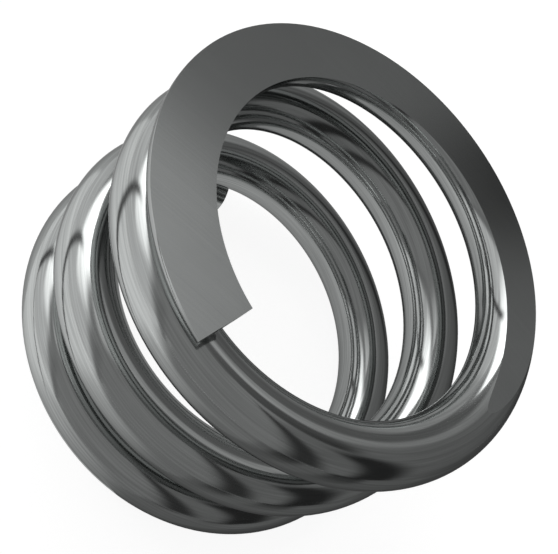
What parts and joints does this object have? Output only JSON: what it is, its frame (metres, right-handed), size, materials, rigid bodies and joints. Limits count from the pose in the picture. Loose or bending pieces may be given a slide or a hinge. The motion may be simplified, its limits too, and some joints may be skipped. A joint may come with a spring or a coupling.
{
  "type": "compression spring",
  "caption": "Helical compression spring of round steel wire, coiled to the right, with closed and ground ends that stand flat on a seat.",
  "frame": {"origin": "on the coil's axis, in the plane of the lower ground end", "axes": "+Z along the coil's axis to the upper ground end, +X from the axis to the wire's lower tip, +Y to make a right-handed frame"},
  "size_m": [0.037, 0.037, 0.0235],
  "materials": {
    "spring_steel": "bright drawn wire with fine lines along it, and ends ground to a satin grey"
  },
  "bodies": {
    "root": {"spring": "spring_steel"}
  },
  "joints": []
}
